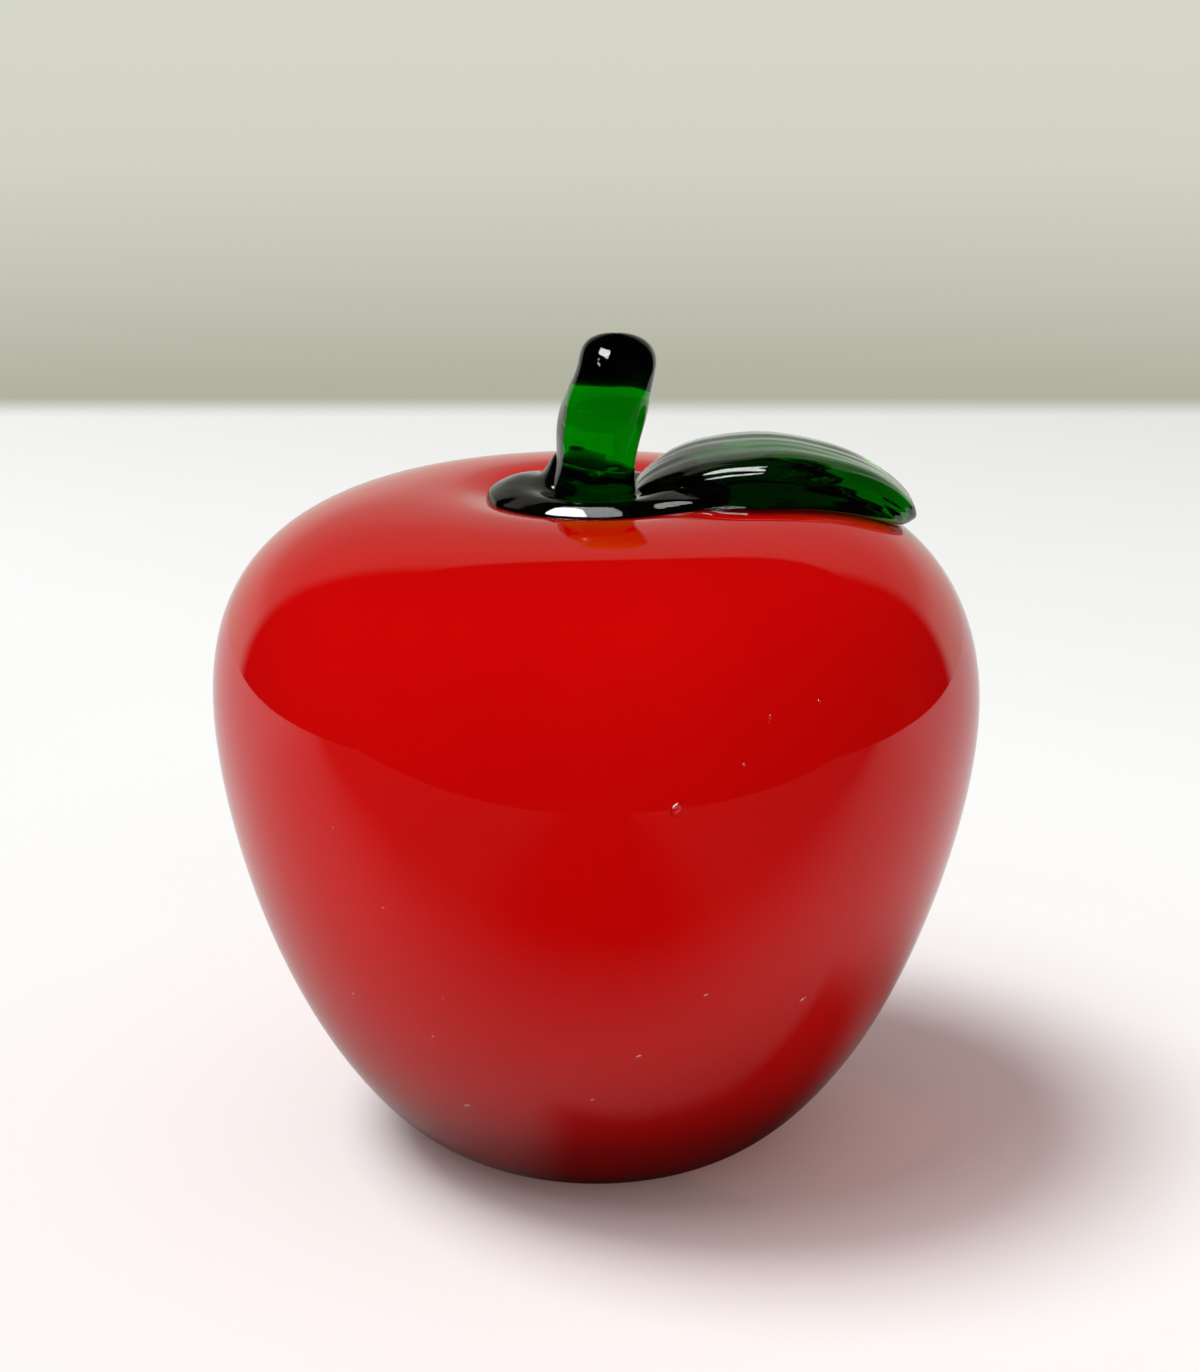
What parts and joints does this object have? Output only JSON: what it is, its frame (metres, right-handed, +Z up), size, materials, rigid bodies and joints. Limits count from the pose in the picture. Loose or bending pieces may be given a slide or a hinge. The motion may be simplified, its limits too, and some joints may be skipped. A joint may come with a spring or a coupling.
{
  "type": "glass apple ornament",
  "caption": "Hollow blown apple in red glass cased in clear, with a green glass stem and leaf fused on top; stands on a flat base as an ornament or paperweight.",
  "frame": {"origin": "centre of the flat base, on the surface the apple stands on", "axes": "+Z up along the axis of the apple, +X from the stem towards the leaf"},
  "size_m": [0.088, 0.088, 0.0949],
  "materials": {
    "clear_glass": "fire-polished",
    "red_glass": "gloss",
    "opal_glass": "gloss",
    "green_glass": "fire-polished"
  },
  "bodies": {
    "root": {"clear_casing": "clear_glass", "red_overlay": "red_glass", "white_lining": "opal_glass", "stem_pad": "green_glass", "stem": "green_glass", "leaf": "green_glass"}
  },
  "joints": []
}
